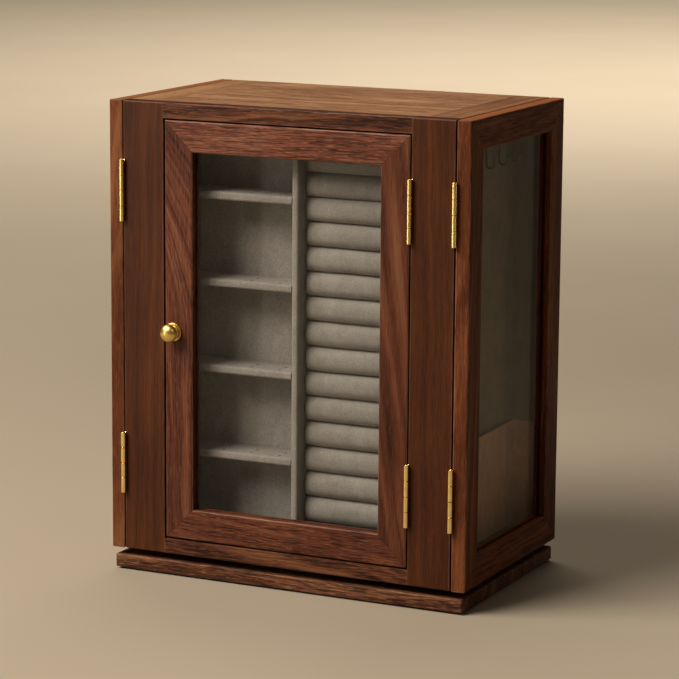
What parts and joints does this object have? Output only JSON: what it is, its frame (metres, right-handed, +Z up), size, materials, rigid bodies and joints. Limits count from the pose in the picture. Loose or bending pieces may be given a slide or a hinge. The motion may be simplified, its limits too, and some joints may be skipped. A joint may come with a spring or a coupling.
{
  "type": "rotating jewelry box",
  "caption": "Glazed walnut jewelry cabinet on a low turntable base, with a hinged front door, two glazed side doors, earring shelves, ring rolls and necklace hooks.",
  "frame": {"origin": "on the surface that the feet stand on, on the axis that the cabinet turns about", "axes": "+Z up along the turning axis, -Y towards the front door with its knob, +X to the right seen from the front"},
  "size_m": [0.24, 0.154, 0.2942],
  "materials": {
    "walnut": "satin varnish, dark walnut",
    "door_walnut": "satin varnish, reddish walnut",
    "foot_rubber": "matt",
    "bearing_steel": "zinc plated, pressed",
    "plated_steel": "nickel plated",
    "brass": "polished and lacquered",
    "glass": "clear, flat",
    "flocked_board": "board covered with warm grey flock",
    "velvet": "warm grey velvet"
  },
  "bodies": {
    "base": {"base_plate": "walnut", "front_left_foot": "foot_rubber", "back_left_foot": "foot_rubber", "front_right_foot": "foot_rubber", "back_right_foot": "foot_rubber", "bearing_lower_plate": "bearing_steel"},
    "bearing_balls": {"bearing_ball_cage": "bearing_steel"},
    "cabinet": {"bearing_upper_plate": "bearing_steel", "bottom_panel": "walnut", "top_panel": "walnut", "back_panel": "walnut", "left_stile": "walnut", "right_stile": "walnut", "top_rail": "walnut", "bottom_rail": "walnut", "left_inner_wall": "flocked_board", "right_inner_wall": "flocked_board", "display_back": "flocked_board", "divider": "flocked_board", "earring_shelf_1": "flocked_board", "earring_shelf_2": "flocked_board", "earring_shelf_3": "flocked_board", "earring_shelf_4": "flocked_board", "ring_roll_pad": "velvet", "left_hook_strip": "brass", "right_hook_strip": "brass", "left_pocket": "velvet", "right_pocket": "velvet", "front_door_magnet": "plated_steel", "left_door_magnet": "plated_steel", "right_door_magnet": "plated_steel", "left_lower_hinge_cabinet_leaf": "brass", "left_upper_hinge_cabinet_leaf": "brass", "right_lower_hinge_cabinet_leaf": "brass", "right_upper_hinge_cabinet_leaf": "brass", "front_lower_hinge_cabinet_leaf": "brass", "front_upper_hinge_cabinet_leaf": "brass"},
    "front_door": {"front_door_bottom_rail": "door_walnut", "front_door_hinge_stile": "door_walnut", "front_door_top_rail": "door_walnut", "front_door_knob_stile": "door_walnut", "front_door_glass": "glass", "front_door_knob": "brass", "knob_screw": "plated_steel", "front_lower_hinge_door_leaf": "brass", "front_upper_hinge_door_leaf": "brass"},
    "left_door": {"left_door_bottom_rail": "door_walnut", "left_door_top_rail": "door_walnut", "left_door_hinge_stile": "door_walnut", "left_door_free_stile": "door_walnut", "left_door_glass": "glass", "left_lower_hinge_door_leaf": "brass", "left_upper_hinge_door_leaf": "brass"},
    "right_door": {"right_door_bottom_rail": "door_walnut", "right_door_top_rail": "door_walnut", "right_door_hinge_stile": "door_walnut", "right_door_free_stile": "door_walnut", "right_door_glass": "glass", "right_lower_hinge_door_leaf": "brass", "right_upper_hinge_door_leaf": "brass"}
  },
  "joints": [
    {"name": "turntable_spin", "type": "hinge", "parent": "base", "child": "cabinet", "pos_m": [0, 0, 0.0136], "axis": [0, 0, 1], "continuous": true},
    {"name": "bearing_ball_orbit", "type": "hinge", "parent": "base", "child": "bearing_balls", "pos_m": [0, 0, 0.0136], "axis": [0, 0, 1], "continuous": true},
    {"name": "front_door_swing", "type": "hinge", "parent": "cabinet", "child": "front_door", "pos_m": [0.082, -0.0738, 0.1542], "axis": [0, 0, 1], "range_deg": [0, 120]},
    {"name": "left_door_swing", "type": "hinge", "parent": "cabinet", "child": "left_door", "pos_m": [-0.1105, -0.0738, 0.1542], "axis": [0, 0, 1], "range_deg": [0, 120]},
    {"name": "right_door_swing", "type": "hinge", "parent": "cabinet", "child": "right_door", "pos_m": [0.1105, -0.0738, 0.1542], "axis": [0, 0, -1], "range_deg": [0, 120]}
  ],
  "couplings": [
    {"joint": "bearing_ball_orbit", "follows": "turntable_spin", "ratio": 0.5}
  ]
}
